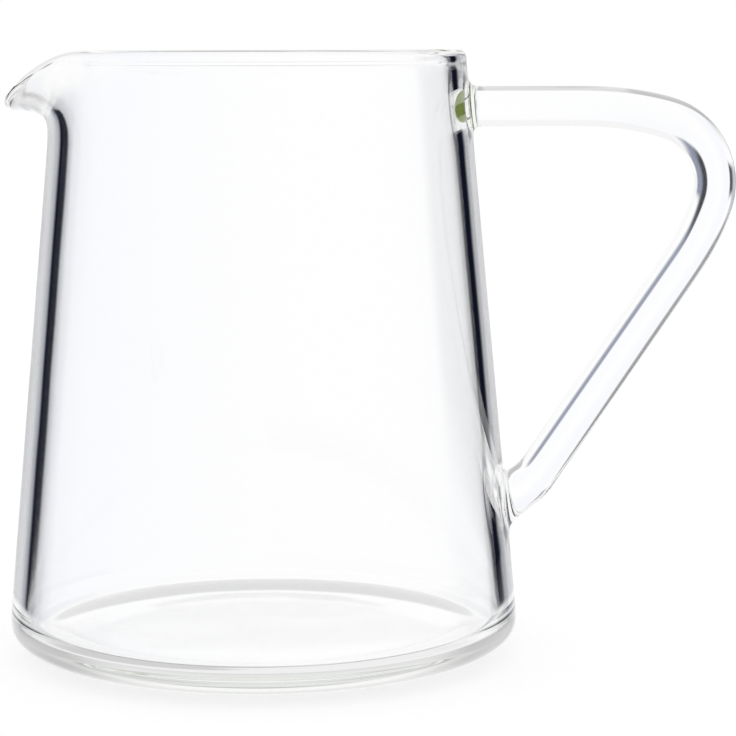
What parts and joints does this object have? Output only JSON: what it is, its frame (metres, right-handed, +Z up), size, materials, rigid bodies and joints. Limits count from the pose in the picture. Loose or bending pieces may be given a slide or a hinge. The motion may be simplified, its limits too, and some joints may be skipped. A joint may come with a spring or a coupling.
{
  "type": "glass jug",
  "caption": "Clear blown-glass jug with a tapered wall, a drawn pouring lip and a solid looped rod handle fused on.",
  "frame": {"origin": "centre of the flat resting face, on the axis of the blown body", "axes": "+Z up along the body's axis, handle on +X, pouring lip on -X, mirror plane Y = 0"},
  "size_m": [0.1389, 0.0972, 0.115],
  "materials": {
    "glass": "clear, fire-polished"
  },
  "bodies": {
    "root": {"jug": "glass"}
  },
  "joints": []
}
